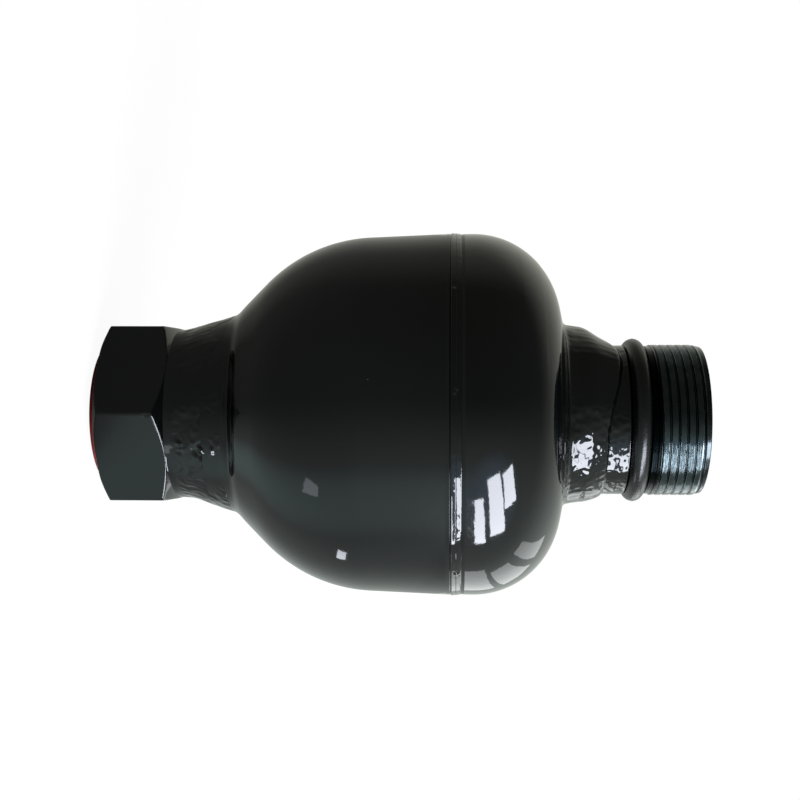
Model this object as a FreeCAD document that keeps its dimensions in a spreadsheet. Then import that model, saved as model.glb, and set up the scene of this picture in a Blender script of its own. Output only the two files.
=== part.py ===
import FreeCAD, Part
import Sketcher
import math
import os

# Welded diaphragm accumulator, in millimetres.
# +Z runs up the vessel's axis: fluid port and its plug at the foot, gas port at the top.
# The origin is on the axis, in the plug flange's outer face, on which the part stands.
# Each height in the sheet is a step above the piece below it, and each radius counts from a neighbour's.

SIZES = (
    ("hex_flats", "32.0", "hexagon of the fluid port, across flats"),
    ("hex_height", "12.6", "hexagon, from its face to the neck"),
    ("hex_face_edge", "0.2", "how far the chamfer's circle on the face stands outside the flats"),
    ("hex_chamfer", "30.0", "slope of both turned chamfers, in degrees from the face"),
    ("fluid_neck_step", "0.1", "how far the neck stands inside the flats"),
    ("fluid_neck_height", "0.9", "neck that shows between hexagon and weld"),
    ("fluid_tube_step", "1.4", "how far the spigot stands inside the neck"),
    ("fluid_thread_dia", "11.445", "G 1/4 female thread, minor diameter"),
    ("fluid_thread_depth", "13.0", "G 1/4 thread, depth of the tapped hole"),
    ("fluid_mouth_chamfer", "0.98", "countersink at the mouth of the tapped hole"),
    ("fluid_passage_dia", "8.0", "drilled passage from the thread to the chamber"),
    ("plug_flange_edge", "7.2", "how far the plug's flange reaches past the tapped hole"),
    ("plug_flange_height", "1.6", "thickness of that flange"),
    ("plug_shank_length", "9.0", "plug shank in the tapped hole"),
    ("plug_fit", "0.05", "radial gap between plug shank and thread"),
    ("plug_tip", "1.0", "chamfer at the plug's inner end"),
    ("plug_wall", "2.2", "wall of the hollow plug"),
    ("plug_floor", "2.8", "closed end of the plug"),
    ("fluid_weld_height", "6.1", "fluid port weld, from the neck to its edge on the shell"),
    ("fluid_bead_rise", "2.0", "hollow of that weld, above the neck"),
    ("fluid_bead_bulge", "0.35", "how far that hollow stands outside the neck"),
    ("fluid_bead_round", "6.0", "round in that hollow"),
    ("foot_land", "2.9", "how far the shell's foot stands outside the spigot"),
    ("foot_prep", "1.6", "fall of the foot's end face towards the spigot"),
    ("foot_height", "3.9", "foot, from the weld to its corner with the cone"),
    ("foot_spread", "1.2", "how much the foot widens up to that corner"),
    ("foot_round", "6.8", "hollow round at that corner"),
    ("dome_height", "14.1", "cone of the fluid shell, up to its corner with the band"),
    ("dome_round", "29.0", "round between cone and band"),
    ("band_height", "26.6", "band, from that corner to the middle of the seam weld"),
    ("band_draw", "1.0", "how much the band draws in from the seam down to that corner"),
    ("seam_dia", "67.2", "both shells at the seam"),
    ("seam_face_width", "1.6", "seam weld, width at the outside"),
    ("seam_root_width", "1.0", "seam weld, width at the inside"),
    ("seam_crown", "0.12", "height of the seam weld above the shells"),
    ("wall", "6.0", "wall of both forged shells"),
    ("gas_side_height", "2.83", "gas shell: straight side between the seam and its round"),
    ("gas_corner_round", "16.4", "round between that side and the end"),
    ("gas_end_rise", "3.6", "rise of the end from that corner to the weld's edge"),
    ("gas_port_offset", "1.0", "gas port set off the vessel's axis, along +X"),
    ("gas_thread_dia", "28.0", "M28 x 1.5 male thread, major diameter"),
    ("gas_thread_length", "9.2", "thread with its end chamfer"),
    ("gas_end_chamfer", "1.3", "chamfer on the thread's end"),
    ("gas_relief_step", "0.2", "how far the relief behind the thread stands inside its crests"),
    ("gas_relief_width", "1.2", "width of that relief"),
    ("ring_cord_dia", "3.5", "cord of the seal ring"),
    ("ring_play", "0.1", "gap between seal ring and groove, on each side"),
    ("ring_groove_depth", "2.25", "depth of the seal groove below the neck"),
    ("gas_neck_step", "0.1", "how far the gas port's neck stands inside the thread's crests"),
    ("gas_neck_height", "2.8", "neck that shows between weld and seal groove"),
    ("gas_tube_step", "0.9", "how far the spigot inside the shell stands inside the neck"),
    ("gas_tube_rise", "3.4", "spigot's shoulder above the weld's edge"),
    ("gas_bevel", "2.5", "bevel of the shell around the gas spigot, for the weld"),
    ("gas_weld_lap", "1.8", "how far the gas port weld laps over the shell past that bevel"),
    ("gas_weld_toe", "0.1", "edge of that weld above the shell"),
    ("gas_bead_rise", "2.0", "shoulder of that weld above its edge"),
    ("gas_bead_step", "1.2", "how far the shoulder stands inside the weld's edge"),
    ("gas_bead_round", "1.2", "hollow round at the shoulder"),
    ("gas_crown_rise", "5.2", "crown of that weld above its shoulder"),
    ("gas_crown_step", "0.85", "how far the crown stands inside the shoulder"),
    ("gas_crown_round", "2.5", "round over the crown"),
    ("gas_weld_tail", "1.7", "weld from its crown to its upper edge"),
    ("charging_thread_depth", "11.0", "depth of its tapped hole below the counterbore"),
    ("gas_passage_dia", "4.0", "drilled passage from that hole to the gas chamber"),
    ("screw_sunk", "0.2", "how far the charging screw's collar lies below the port's end"),
    ("screw_collar_share", "0.68", "that collar's diameter as a share of the thread's crests"),
    ("screw_collar_gap", "0.73", "gap between collar and counterbore"),
    ("screw_collar_height", "3.0", "thickness of that collar"),
    ("screw_shank_share", "0.683", "M14 x 1.5 charging thread's pitch diameter as a share of the collar's"),
    ("screw_shank_length", "9.0", "shank below the collar"),
    ("screw_edge", "0.5", "edge break on the collar"),
    ("screw_tip", "1.0", "chamfer at the screw's inner end"),
    ("socket_flats", "6.0", "hexagon socket, across flats"),
    ("socket_depth", "5.5", "depth of the socket"),
    ("seal_gap", "0.3", "gap between the bonded seal's bore and the screw's shank"),
    ("seal_edge", "0.15", "how far the seal stands inside the collar's edge"),
    ("seal_height", "1.5", "thickness of that seal"),
    ("seat_step", "1.8", "how far the clamping ring's seat is cut into the wall"),
    ("seat_depth", "5.0", "seat below the seam, in the fluid shell"),
    ("seat_rise", "6.0", "seat above the seam, in the gas shell"),
    ("bead_height", "3.5", "clamped bead of the diaphragm"),
    ("rubber_thickness", "2.0", "wall of the diaphragm"),
    ("rubber_gap", "0.3", "gap between diaphragm and fluid shell at rest"),
    ("rubber_corner", "5.0", "round at the diaphragm's flat bottom, outside"),
    ("disc_dia", "19.0", "valve disc bonded under the diaphragm"),
    ("disc_height", "2.4", "thickness of the valve disc"),
    ("disc_edge", "0.6", "edge break on the valve disc"),
    ("drill_point", "120.0", "point angle of the drills, in degrees"),
    ("tool_run", "2.0", "how far a cut runs past the material, or a joined section into it"),
)

doc = FreeCAD.newDocument("hydraulic_accumulator")
sheet = doc.addObject("Spreadsheet::Sheet", "Sizes")
for row, (alias, value, meaning) in enumerate(SIZES, start=1):
    sheet.set(f"A{row}", meaning)
    sheet.set(f"B{row}", value)
    sheet.setAlias(f"B{row}", alias)
doc.recompute()


def size(alias):
    """The sheet's cell, as it is written in an expression."""
    return f"Sizes.{alias}"


def half(alias):
    """A radius, from the diameter in the sheet."""
    return f"({size(alias)} / 2)"


def plus(start, *aliases):
    """A height or a radius, so many steps above the one to start from."""
    return "(" + " + ".join([start, *(size(alias) for alias in aliases)]) + ")"


def less(start, *aliases):
    """A height or a radius, so many steps below the one to start from."""
    return "(" + " - ".join([start, *(size(alias) for alias in aliases)]) + ")"


def value(expression):
    """What an expression comes to with the sheet's present numbers."""
    result = sheet.evalExpression(expression)
    return float(getattr(result, "Value", result))


def in_reach(expression):
    """True where a coordinate isn't on the sketch's own axis."""
    return abs(value(expression)) > 1e-9


def origin_plane(body, role):
    """One of the body's own origin planes."""
    return next(feature for feature in body.Origin.OriginFeatures if feature.Role == role)


def new_sketch(body, name, role):
    """An empty sketch on one of the body's origin planes."""
    sketch = body.newObject("Sketcher::SketchObject", name)
    sketch.AttachmentSupport = (origin_plane(body, role), [""])
    sketch.MapMode = "FlatFace"
    return sketch


def drive(sketch, constraint, expression):
    """Adds one dimension and binds it to an expression."""
    index = sketch.addConstraint(constraint)
    sketch.setExpression(f"Constraints[{index}]", expression)


def pin_point(sketch, geometry, point, across, up):
    """Places one point of a sketch by its two coordinates."""
    if in_reach(across):
        drive(sketch, Sketcher.Constraint("DistanceX", -1, 1, geometry, point, value(across)), across)
    else:
        sketch.addConstraint(Sketcher.Constraint("PointOnObject", geometry, point, -2))
    if in_reach(up):
        drive(sketch, Sketcher.Constraint("DistanceY", -1, 1, geometry, point, value(up)), up)
    else:
        sketch.addConstraint(Sketcher.Constraint("PointOnObject", geometry, point, -1))


def round_off(before, corner, after, radius):
    """Tangent points and mid point of a round in the corner between two straight lines."""
    to_before = (before - corner).normalize()
    to_after = (after - corner).normalize()
    half_angle = to_before.getAngle(to_after) / 2
    reach = radius / math.tan(half_angle)
    bisector = (to_before + to_after).normalize()
    middle = corner + bisector * (radius / math.sin(half_angle) - radius)
    return corner + to_before * reach, middle, corner + to_after * reach


def outline(body, name, corners, shift="0"):
    """A closed section in the XZ plane: corners as (radius, height) or (radius, height, round).

    The radii count from an upright construction line, which stands off the origin by shift.
    """
    sketch = new_sketch(body, name, "XZ_Plane")
    places = [FreeCAD.Vector(value(corner[0]) + value(shift), value(corner[1]), 0) for corner in corners]
    count = len(corners)
    leave, arrive, arcs = {}, {}, {}
    for index, corner in enumerate(corners):
        here = places[index]
        leave[index] = arrive[index] = here
        if len(corner) == 3:
            before, after = places[index - 1], places[(index + 1) % count]
            first, middle, last = round_off(before, here, after, value(corner[2]))
            arrive[index], leave[index] = first, last
            arcs[index] = Part.Arc(first, middle, last)
    lines = []
    for index in range(count):
        edge = Part.LineSegment(leave[index], arrive[(index + 1) % count])
        lines.append(sketch.addGeometry(edge, False))
    for index, corner in enumerate(corners):
        line_in, line_out = lines[index - 1], lines[index]
        across = f"{corner[0]} + {shift}" if in_reach(shift) else corner[0]
        if index in arcs:
            arc = sketch.addGeometry(arcs[index], False)
            tip = sketch.addGeometry(Part.Point(places[index]), True)
            forward = sketch.getPoint(arc, 1).distanceToPoint(arrive[index]) < 1e-6
            start, end = (1, 2) if forward else (2, 1)
            sketch.addConstraint([
                Sketcher.Constraint("Tangent", line_in, 2, arc, start),
                Sketcher.Constraint("Tangent", arc, end, line_out, 1),
                Sketcher.Constraint("PointOnObject", tip, 1, line_in),
                Sketcher.Constraint("PointOnObject", tip, 1, line_out),
            ])
            drive(sketch, Sketcher.Constraint("Radius", arc, value(corner[2])), corner[2])
            pin_point(sketch, tip, 1, across, corner[1])
        else:
            sketch.addConstraint(Sketcher.Constraint("Coincident", line_in, 2, line_out, 1))
            pin_point(sketch, line_out, 1, across, corner[1])
    if in_reach(shift):
        foot, head = FreeCAD.Vector(value(shift), 0, 0), FreeCAD.Vector(value(shift), 1, 0)
        axis = sketch.addGeometry(Part.LineSegment(foot, head), True)
        pin_point(sketch, axis, 1, shift, "0")
        pin_point(sketch, axis, 2, shift, "1")
    return sketch


def hexagon(body, name, across_flats):
    """A hexagon about the origin in the XY plane, with two flats square to the X axis."""
    sketch = new_sketch(body, name, "XY_Plane")
    reach = f"{across_flats} / 2"
    rise = f"{across_flats} / 2 * tan(30 deg)"
    tip = f"{across_flats} / 2 / cos(30 deg)"
    corners = [(reach, f"-({rise})"), (reach, rise), ("0", tip),
               (f"-({reach})", rise), (f"-({reach})", f"-({rise})"), ("0", f"-({tip})")]
    places = [FreeCAD.Vector(value(across), value(up), 0) for across, up in corners]
    for index, place in enumerate(places):
        sketch.addGeometry(Part.LineSegment(place, places[(index + 1) % len(places)]), False)
    for index, (across, up) in enumerate(corners):
        before = (index - 1) % len(corners)
        sketch.addConstraint(Sketcher.Constraint("Coincident", before, 2, index, 1))
        pin_point(sketch, index, 1, across, up)
    return sketch


def new_body(label):
    """A body for one physical piece; its label is the node's name."""
    body = doc.addObject("PartDesign::Body", label)
    body.Label = label
    return body


def turn(body, kind, name, corners, shift="0"):
    """Adds (Revolution) or removes (Groove) the ring that a section sweeps about its axis."""
    sketch = outline(body, f"{name}_section", corners, shift)
    feature = body.newObject(f"PartDesign::{kind}", name)
    feature.Profile = sketch
    feature.ReferenceAxis = (sketch, ["Axis0" if in_reach(shift) else "V_Axis"])
    feature.Angle = 360
    doc.recompute()
    return feature


def lift(body, height):
    """Sets a body's height above the origin."""
    body.setExpression("Placement.Base.z", height)


# Radii, each from its neighbour.
BORE = less(half("seam_dia"), "wall")
SEAT = plus(BORE, "seat_step")
DOME_CORNER = less(half("seam_dia"), "band_draw")
FLUID_NECK = less(half("hex_flats"), "fluid_neck_step")
FLUID_TUBE = less(FLUID_NECK, "fluid_tube_step")
FOOT = plus(FLUID_TUBE, "foot_land")
FOOT_CORNER = plus(FOOT, "foot_spread")
GAS_THREAD = half("gas_thread_dia")
GAS_NECK = less(GAS_THREAD, "gas_neck_step")
GAS_TUBE = less(GAS_NECK, "gas_tube_step")
GAS_BEVEL = plus(GAS_TUBE, "gas_bevel")
GAS_FOOT = plus(GAS_BEVEL, "gas_weld_lap")
RING_FLOOR = less(GAS_NECK, "ring_groove_depth")
SCREW_COLLAR = f"({GAS_THREAD} * {size('screw_collar_share')})"
SCREW_SINK = plus(SCREW_COLLAR, "screw_collar_gap")
SCREW_SHANK = f"({SCREW_COLLAR} * {size('screw_shank_share')})"

# The fluid shell's cone leans from the axis by this angle.
CONE_LEAN = f"atan(({DOME_CORNER} - {FOOT_CORNER}) / {size('dome_height')})"
# The gas shell's end falls away from the port by this angle.
END_SLOPE = f"atan({size('gas_end_rise')} / ({half('seam_dia')} - {GAS_FOOT}))"

# Heights above the origin, from the plug's flange up.
HEX_FACE = size("plug_flange_height")
NECK_END = plus(HEX_FACE, "hex_height", "fluid_neck_height")
FOOT_EDGE = plus(NECK_END, "fluid_weld_height")
CONE_FOOT = plus(FOOT_EDGE, "foot_height")
CONE_TOP = plus(CONE_FOOT, "dome_height")
SEAM = plus(CONE_TOP, "band_height")
SEAT_FLOOR = less(SEAM, "seat_depth")
SEAT_TOP = plus(SEAM, "seat_rise")
BEAD_TOP = plus(SEAT_FLOOR, "bead_height")
GAS_CORNER = f"({plus(SEAM, 'gas_side_height')} + {size('gas_corner_round')} / tan(45 deg + {END_SLOPE} / 2))"
GAS_EDGE = plus(GAS_CORNER, "gas_end_rise")
GAS_BEAD = plus(GAS_EDGE, "gas_bead_rise")
GAS_CROWN = plus(GAS_BEAD, "gas_crown_rise")
GAS_WELD_TOP = plus(GAS_CROWN, "gas_weld_tail")
GROOVE_START = plus(GAS_WELD_TOP, "gas_neck_height")
RING_HEIGHT = f"({plus(GROOVE_START, 'ring_play')} + {half('ring_cord_dia')})"
GROOVE_END = plus(GROOVE_START, "ring_play", "ring_cord_dia", "ring_play")
THREAD_START = plus(GROOVE_END, "gas_relief_width")
GAS_END = plus(THREAD_START, "gas_thread_length")
SEAL_FLOOR = less(GAS_END, "screw_sunk", "screw_collar_height", "seal_height")
SCREW_SEAT = plus(SEAL_FLOOR, "seal_height")


def cone_height(radius, depth):
    """Height at which a cone that lies depth inside the fluid shell's cone has this radius."""
    offset = f"({depth} + ({radius} - {DOME_CORNER}) * cos({CONE_LEAN}))"
    return f"({CONE_TOP} + {offset} / sin({CONE_LEAN}))"


def cone_radius(height, depth):
    """Radius of that inner cone at a height."""
    offset = f"(({height} - {CONE_TOP}) * sin({CONE_LEAN}) - {depth})"
    return f"({DOME_CORNER} + {offset} / cos({CONE_LEAN}))"


def end_height(radius, depth):
    """Height at which a cone that lies depth inside the gas shell's end has this radius."""
    rise = f"({half('seam_dia')} - {radius}) * tan({END_SLOPE})"
    return f"({GAS_CORNER} + {rise} - {depth} / cos({END_SLOPE}))"


def drill_cone(wide, narrow):
    """Height of the cone that a drill leaves between a bore's radius and the narrower one behind it."""
    return f"(({wide} - {narrow}) / tan({size('drill_point')} / 2 * 1 deg))"


PORT_INNER_FACE = cone_height(FLUID_TUBE, size("wall"))
DISC_TOP = plus(PORT_INNER_FACE, "disc_height")
GAS_INNER_FACE = end_height(GAS_TUBE, size("wall"))
GAS_BEVEL_TOP = end_height(GAS_BEVEL, "0")
GAS_BEVEL_ROOT = less(GAS_BEVEL_TOP, "gas_bevel")


def make_fluid_shell():
    """Forged shell on the fluid side: foot, cone, dome and band, up to the seam weld."""
    body = new_body("fluid_shell")
    turn(body, "Revolution", "forging", [
        (FLUID_TUBE, less(FOOT_EDGE, "foot_prep")),
        (FOOT, FOOT_EDGE),
        (FOOT_CORNER, CONE_FOOT, size("foot_round")),
        (DOME_CORNER, CONE_TOP, size("dome_round")),
        (half("seam_dia"), f"{SEAM} - {half('seam_face_width')}"),
        (BORE, f"{SEAM} - {half('seam_root_width')}"),
        (BORE, cone_height(BORE, size("wall")), less(size("dome_round"), "wall")),
        (FLUID_TUBE, PORT_INNER_FACE),
    ])
    turn(body, "Groove", "ring_seat", [
        (less(BORE, "tool_run"), SEAT_FLOOR),
        (SEAT, SEAT_FLOOR),
        (SEAT, SEAM),
        (less(BORE, "tool_run"), SEAM),
    ])
    return body


def make_gas_shell():
    """Forged shell on the gas side: a short side and a flat-topped dome, bored for the gas port."""
    body = new_body("gas_shell")
    turn(body, "Revolution", "forging", [
        ("0", end_height("0", "0")),
        (half("seam_dia"), GAS_CORNER, size("gas_corner_round")),
        (half("seam_dia"), f"{SEAM} + {half('seam_face_width')}"),
        (BORE, f"{SEAM} + {half('seam_root_width')}"),
        (BORE, end_height(BORE, size("wall")), less(size("gas_corner_round"), "wall")),
        ("0", end_height("0", size("wall"))),
    ])
    turn(body, "Groove", "ring_seat", [
        ("0", SEAM),
        (SEAT, SEAM),
        (SEAT, SEAT_TOP),
        ("0", SEAT_TOP),
    ])
    below = less(end_height(GAS_BEVEL, size("wall")), "tool_run")
    above = plus(end_height("0", "0"), "tool_run")
    turn(body, "Groove", "gas_opening", [
        ("0", below),
        (GAS_TUBE, below),
        (GAS_TUBE, GAS_BEVEL_ROOT),
        (f"({GAS_BEVEL} + {above} - {GAS_BEVEL_TOP})", above),
        ("0", above),
    ], size("gas_port_offset"))
    return body


def make_seam_weld():
    """Weld that joins the two shells, in the bevels of their rims."""
    body = new_body("seam_weld")
    face, root = half("seam_face_width"), half("seam_root_width")
    crown = plus(half("seam_dia"), "seam_crown")

    def bevel(radius):
        share = f"({radius} - {BORE}) / ({half('seam_dia')} - {BORE})"
        return f"({root} + ({face} - {root}) * {share})"

    turn(body, "Revolution", "weld", [
        (SEAT, f"{SEAM} - {bevel(SEAT)}"),
        (half("seam_dia"), f"{SEAM} - {face}"),
        (crown, f"{SEAM} - {root}"),
        (crown, f"{SEAM} + {root}"),
        (half("seam_dia"), f"{SEAM} + {face}"),
        (SEAT, f"{SEAM} + {bevel(SEAT)}"),
    ])
    return body


def make_fluid_port():
    """Fluid port, turned from hexagon bar: chamfered hexagon, neck, spigot and stepped bore."""
    body = new_body("fluid_port")
    lift(body, HEX_FACE)
    hexagon_end = size("hex_height")
    spigot_start = less(hexagon_end, "tool_run")
    inner_face = less(PORT_INNER_FACE, "plug_flange_height")
    slope = f"tan({size('hex_chamfer')} * 1 deg)"
    reach = plus(f"{half('hex_flats')} / cos(30 deg)", "tool_run")
    face_circle = plus(half("hex_flats"), "hex_face_edge")

    bar = body.newObject("PartDesign::Pad", "hexagon_bar")
    bar.Profile = hexagon(body, "hexagon_section", size("hex_flats"))
    bar.setExpression("Length", hexagon_end)
    doc.recompute()
    turn(body, "Revolution", "neck_and_spigot", [
        ("0", spigot_start),
        (FLUID_NECK, spigot_start),
        (FLUID_NECK, plus(hexagon_end, "fluid_neck_height")),
        (FLUID_TUBE, plus(hexagon_end, "fluid_neck_height")),
        (FLUID_TUBE, inner_face),
        ("0", inner_face),
    ])
    turn(body, "Groove", "face_chamfer", [
        (face_circle, "0"),
        (reach, "0"),
        (reach, f"({reach} - {face_circle}) * {slope}"),
    ])
    turn(body, "Groove", "back_chamfer", [
        (FLUID_NECK, hexagon_end),
        (reach, f"{hexagon_end} - ({reach} - {FLUID_NECK}) * {slope}"),
        (reach, hexagon_end),
    ])
    point = drill_cone(half("fluid_thread_dia"), half("fluid_passage_dia"))
    turn(body, "Groove", "port_bore", [
        ("0", "0"),
        (plus(half("fluid_thread_dia"), "fluid_mouth_chamfer"), "0"),
        (half("fluid_thread_dia"), size("fluid_mouth_chamfer")),
        (half("fluid_thread_dia"), size("fluid_thread_depth")),
        (half("fluid_passage_dia"), f"{size('fluid_thread_depth')} + {point}"),
        (half("fluid_passage_dia"), inner_face),
        ("0", inner_face),
    ])
    return body


def make_fluid_port_weld():
    """Weld between the fluid port's neck and the foot of its shell."""
    body = new_body("fluid_port_weld")
    turn(body, "Revolution", "weld", [
        (FLUID_TUBE, NECK_END),
        (FLUID_NECK, NECK_END),
        (plus(FLUID_NECK, "fluid_bead_bulge"), plus(NECK_END, "fluid_bead_rise"), size("fluid_bead_round")),
        (FOOT, FOOT_EDGE),
        (FLUID_TUBE, less(FOOT_EDGE, "foot_prep")),
    ])
    return body


def make_gas_port():
    """Gas port, turned: spigot, neck, seal groove, relief, thread, and the charging screw's bore."""
    body = new_body("gas_port")
    body.setExpression("Placement.Base.x", size("gas_port_offset"))
    relief = less(GAS_THREAD, "gas_relief_step")
    turn(body, "Revolution", "turned_outside", [
        ("0", GAS_INNER_FACE),
        (GAS_TUBE, GAS_INNER_FACE),
        (GAS_TUBE, plus(GAS_EDGE, "gas_tube_rise")),
        (GAS_NECK, plus(GAS_EDGE, "gas_tube_rise")),
        (GAS_NECK, GROOVE_START),
        (RING_FLOOR, GROOVE_START),
        (RING_FLOOR, GROOVE_END),
        (relief, GROOVE_END),
        (relief, THREAD_START),
        (GAS_THREAD, THREAD_START),
        (GAS_THREAD, less(GAS_END, "gas_end_chamfer")),
        (less(GAS_THREAD, "gas_end_chamfer"), GAS_END),
        ("0", GAS_END),
    ])
    tapped_end = less(SEAL_FLOOR, "charging_thread_depth")
    point = drill_cone(SCREW_SHANK, half("gas_passage_dia"))
    turn(body, "Groove", "charging_bore", [
        ("0", GAS_INNER_FACE),
        (half("gas_passage_dia"), GAS_INNER_FACE),
        (half("gas_passage_dia"), f"{tapped_end} - {point}"),
        (SCREW_SHANK, tapped_end),
        (SCREW_SHANK, SEAL_FLOOR),
        (SCREW_SINK, SEAL_FLOOR),
        (SCREW_SINK, GAS_END),
        ("0", GAS_END),
    ])
    return body


def make_gas_port_weld(gas_shell, gas_port):
    """Weld around the gas port: laid about the vessel's axis, it fills up to the shell and the port."""
    ring = new_body("gas_weld_ring")
    inside = less(GAS_TUBE, "gas_port_offset", "tool_run")
    shoulder = less(GAS_FOOT, "gas_bead_step")
    turn(ring, "Revolution", "weld", [
        (inside, GAS_BEVEL_ROOT),
        (GAS_FOOT, GAS_BEVEL_ROOT),
        (GAS_FOOT, plus(GAS_EDGE, "gas_weld_toe")),
        (shoulder, GAS_BEAD, size("gas_bead_round")),
        (less(shoulder, "gas_crown_step"), GAS_CROWN, size("gas_crown_round")),
        (less(GAS_NECK, "gas_port_offset"), GAS_WELD_TOP),
        (inside, GAS_WELD_TOP),
    ])
    outside_port = doc.addObject("Part::Cut", "weld_outside_port")
    outside_port.Base = ring
    outside_port.Tool = gas_port
    weld = doc.addObject("Part::Cut", "gas_port_weld")
    weld.Base = outside_port
    weld.Tool = gas_shell
    weld.Label = "gas_port_weld"
    return weld


def make_gas_port_o_ring():
    """Rubber seal ring in the groove behind the gas thread."""
    ring = doc.addObject("Part::Torus", "gas_port_o_ring")
    ring.setExpression("Radius1", f"{RING_FLOOR} + {half('ring_cord_dia')}")
    ring.setExpression("Radius2", half("ring_cord_dia"))
    ring.setExpression("Placement.Base.x", size("gas_port_offset"))
    ring.setExpression("Placement.Base.z", RING_HEIGHT)
    ring.Label = "gas_port_o_ring"
    return ring


def make_charging_screw():
    """Charging screw: collar, shank and hexagon socket, drawn from the underside of the collar."""
    body = new_body("charging_screw")
    body.setExpression("Placement.Base.x", size("gas_port_offset"))
    lift(body, SCREW_SEAT)
    collar_top = size("screw_collar_height")
    turn(body, "Revolution", "collar_and_shank", [
        ("0", f"-{size('screw_shank_length')}"),
        (less(SCREW_SHANK, "screw_tip"), f"-{size('screw_shank_length')}"),
        (SCREW_SHANK, less(size("screw_tip"), "screw_shank_length")),
        (SCREW_SHANK, "0"),
        (SCREW_COLLAR, "0"),
        (SCREW_COLLAR, less(collar_top, "screw_edge")),
        (less(SCREW_COLLAR, "screw_edge"), collar_top),
        ("0", collar_top),
    ])
    socket = body.newObject("PartDesign::Pocket", "hexagon_socket")
    section = hexagon(body, "socket_section", size("socket_flats"))
    section.setExpression("AttachmentOffset.Base.z", collar_top)
    socket.Profile = section
    socket.setExpression("Length", size("socket_depth"))
    doc.recompute()
    return body


def make_charging_screw_seal():
    """Bonded seal between the collar and the floor of its counterbore."""
    body = new_body("charging_screw_seal")
    body.setExpression("Placement.Base.x", size("gas_port_offset"))
    lift(body, SEAL_FLOOR)
    turn(body, "Revolution", "washer", [
        (plus(SCREW_SHANK, "seal_gap"), "0"),
        (less(SCREW_COLLAR, "seal_edge"), "0"),
        (less(SCREW_COLLAR, "seal_edge"), size("seal_height")),
        (plus(SCREW_SHANK, "seal_gap"), size("seal_height")),
    ])
    return body


def make_diaphragm():
    """Rubber cup that parts gas from fluid: clamped bead, wall along the fluid shell, flat bottom."""
    body = new_body("diaphragm")
    outside = plus(size("wall"), "rubber_gap")
    inside = plus(outside, "rubber_thickness")
    wall_out = less(BORE, "rubber_gap")
    wall_in = less(wall_out, "rubber_thickness")
    bottom_in = plus(DISC_TOP, "rubber_thickness")
    turn(body, "Revolution", "moulding", [
        ("0", DISC_TOP),
        (cone_radius(DISC_TOP, outside), DISC_TOP, size("rubber_corner")),
        (wall_out, cone_height(wall_out, outside), f"({size('dome_round')} - {outside})"),
        (wall_out, SEAT_FLOOR),
        (SEAT, SEAT_FLOOR),
        (SEAT, BEAD_TOP),
        (wall_in, BEAD_TOP),
        (wall_in, cone_height(wall_in, inside), f"({size('dome_round')} - {inside})"),
        (cone_radius(bottom_in, inside), bottom_in, less(size("rubber_corner"), "rubber_thickness")),
        ("0", bottom_in),
    ])
    return body


def make_valve_disc():
    """Disc bonded under the diaphragm; it closes the fluid port when the vessel is empty of fluid."""
    body = new_body("valve_disc")
    lift(body, PORT_INNER_FACE)
    radius = half("disc_dia")
    turn(body, "Revolution", "disc", [
        ("0", "0"),
        (less(radius, "disc_edge"), "0"),
        (radius, size("disc_edge")),
        (radius, less(size("disc_height"), "disc_edge")),
        (less(radius, "disc_edge"), size("disc_height")),
        ("0", size("disc_height")),
    ])
    return body


def make_clamping_ring():
    """Steel ring that presses the diaphragm's bead into its seat and shields it from the seam weld."""
    body = new_body("clamping_ring")
    inside = less(BORE, "rubber_gap", "rubber_thickness")
    turn(body, "Revolution", "ring", [
        (inside, BEAD_TOP),
        (SEAT, BEAD_TOP),
        (SEAT, SEAT_TOP),
        (inside, SEAT_TOP),
    ])
    return body


def make_transport_plug():
    """Plastic plug that closes the fluid port until the vessel is fitted."""
    body = new_body("transport_plug")
    shank = less(half("fluid_thread_dia"), "plug_fit")
    flange = plus(half("fluid_thread_dia"), "plug_flange_edge")
    tip = plus(HEX_FACE, "plug_shank_length")
    turn(body, "Revolution", "moulding", [
        ("0", less(tip, "plug_floor")),
        (less(shank, "plug_wall"), less(tip, "plug_floor")),
        (less(shank, "plug_wall"), "0"),
        (flange, "0"),
        (flange, HEX_FACE),
        (shank, HEX_FACE),
        (shank, less(tip, "plug_tip")),
        (less(shank, "plug_tip"), tip),
        ("0", tip),
    ])
    return body


def check_and_export(nodes):
    """Stops on any failed object or bad shape, then writes one STEP file for each node."""
    doc.recompute()
    for item in doc.Objects:
        if "Invalid" in item.State or "Error" in item.State:
            raise RuntimeError(f"{item.Name} failed: {item.State}")
    for node in nodes:
        if node.Shape.isNull() or not node.Shape.isValid() or node.Shape.Volume <= 0:
            raise RuntimeError(f"{node.Label} has no valid shape")
    os.makedirs("parts", exist_ok=True)
    for node in nodes:
        node.Shape.exportStep(f"parts/{node.Label}.step")
        box = node.Shape.BoundBox
        print(f"{node.Label}: {len(node.Shape.Solids)} solid, {node.Shape.Volume / 1000:.2f} cm3,"
              f" x {box.XMin:.2f} {box.XMax:.2f}, z {box.ZMin:.2f} {box.ZMax:.2f}")


fluid_shell = make_fluid_shell()
gas_shell = make_gas_shell()
gas_port = make_gas_port()
check_and_export([
    fluid_shell,
    gas_shell,
    make_seam_weld(),
    make_fluid_port(),
    make_fluid_port_weld(),
    gas_port,
    make_gas_port_weld(gas_shell, gas_port),
    make_gas_port_o_ring(),
    make_charging_screw(),
    make_charging_screw_seal(),
    make_diaphragm(),
    make_valve_disc(),
    make_clamping_ring(),
    make_transport_plug(),
])
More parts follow.
